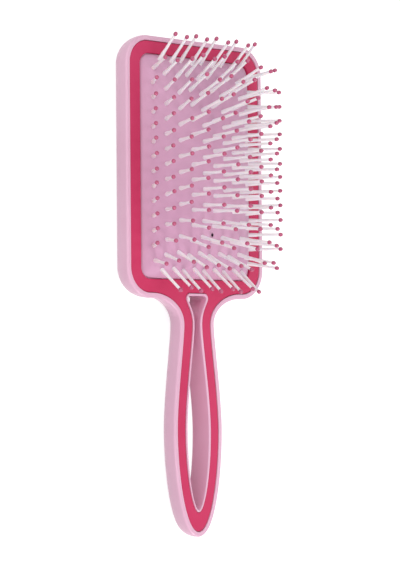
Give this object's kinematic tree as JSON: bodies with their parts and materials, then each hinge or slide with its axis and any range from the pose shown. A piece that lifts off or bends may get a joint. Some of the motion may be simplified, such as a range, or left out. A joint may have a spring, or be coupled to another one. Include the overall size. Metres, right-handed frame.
{
  "type": "cushion hair brush",
  "caption": "Paddle hair brush with a domed air cushion of ball-tipped pins, a framing face plate and a long loop handle.",
  "frame": {"origin": "middle of the brush's length and width, on the flat back that it rests on", "axes": "+X to the right and +Y towards the top of the head, seen from the pins; +Z out of the cushion, the way the pins point"},
  "size_m": [0.091, 0.24, 0.0415],
  "materials": {
    "body_plastic": "smooth moulded plastic, pale pink",
    "plate_plastic": "smooth moulded plastic, crimson",
    "cushion_rubber": "soft lilac pink rubber",
    "pin_rows": "lilac pink rubber skin with white nylon pins that end in crimson balls"
  },
  "bodies": {
    "brush": {"handle_body": "body_plastic", "face_plate": "plate_plastic", "cushion_skirt": "cushion_rubber"},
    "cushion": {"pin_row_01": "pin_rows", "pin_row_02": "pin_rows", "pin_row_03": "pin_rows", "pin_row_04": "pin_rows", "pin_row_05": "pin_rows", "pin_row_06": "pin_rows", "pin_row_07": "pin_rows", "pin_row_08": "pin_rows", "pin_row_09": "pin_rows", "pin_row_10": "pin_rows", "pin_row_11": "pin_rows"}
  },
  "joints": [
    {"name": "cushion_press", "type": "slide", "parent": "brush", "child": "cushion", "axis": [0, 0, 1], "range_m": [-0.003, 0], "stiffness_N_per_m": 1800}
  ]
}
